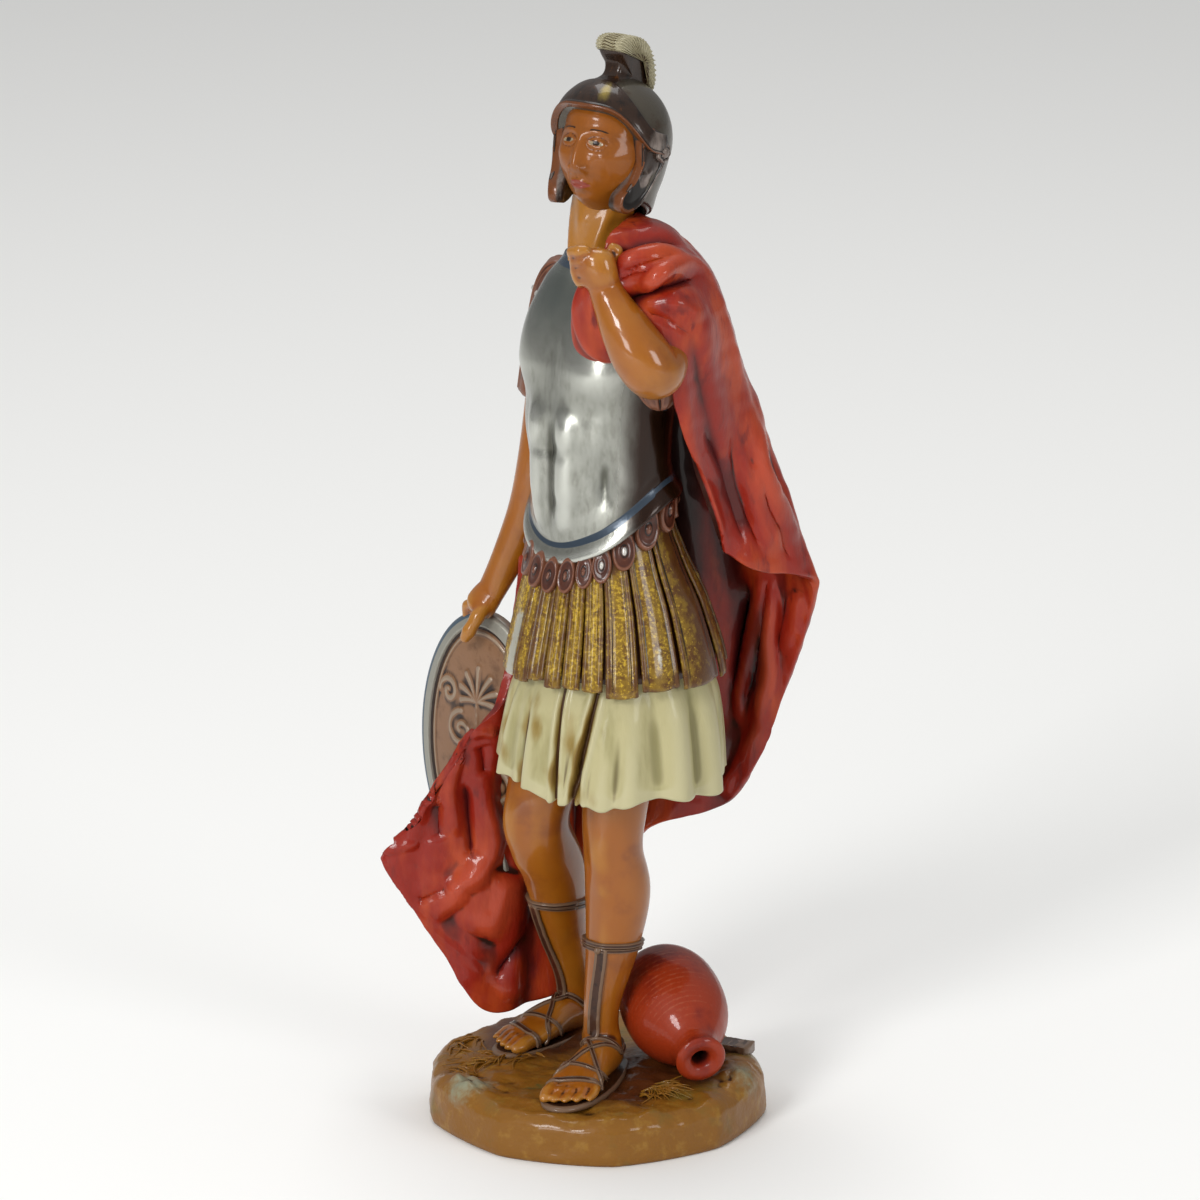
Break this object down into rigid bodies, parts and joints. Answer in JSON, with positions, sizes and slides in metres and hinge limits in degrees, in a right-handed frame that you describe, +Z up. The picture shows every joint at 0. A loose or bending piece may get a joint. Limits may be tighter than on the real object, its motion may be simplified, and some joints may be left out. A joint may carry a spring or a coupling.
{
  "type": "soldier statue",
  "caption": "Cast figurine of a Roman soldier in a muscle cuirass, with crested helmet, long cloak and oval shield, standing on a round patch of ground beside a jug.",
  "frame": {"origin": "centre of the ground's flat underside, on the surface that the statue stands on", "axes": "+Z up through the figure to the crest, -Y towards the front of the statue, +X to the viewer's right"},
  "size_m": [0.1201, 0.0925, 0.2996],
  "materials": {
    "painted_resin": "cast resin, hand painted and lacquered"
  },
  "bodies": {
    "root": {"statue": "painted_resin"}
  },
  "joints": []
}
